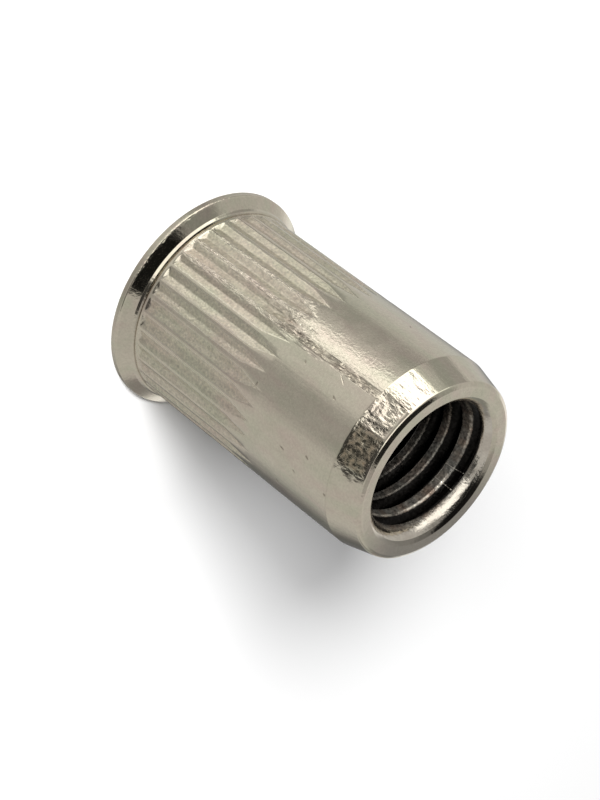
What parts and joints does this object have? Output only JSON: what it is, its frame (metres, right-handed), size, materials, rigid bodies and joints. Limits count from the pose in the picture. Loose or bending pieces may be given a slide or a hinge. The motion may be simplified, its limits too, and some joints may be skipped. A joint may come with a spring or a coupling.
{
  "type": "knurled rivet nut",
  "caption": "Steel blind rivet nut: thin sloping head, knurled shank with a plain bore that folds when set, and a threaded, tapered nose.",
  "frame": {"origin": "centre of the head's flat outer face", "axes": "+Z along the nut's axis, from the head to the nose; +X runs out through the flank of a knurl groove, 3.45 degrees short of the groove's middle"},
  "size_m": [0.0124, 0.0124, 0.0177],
  "materials": {
    "plated_steel": "satin nickel-grey plating over turned steel, with fine speckle, scuffs and small dents"
  },
  "bodies": {
    "root": {"rivet_nut": "plated_steel"}
  },
  "joints": []
}
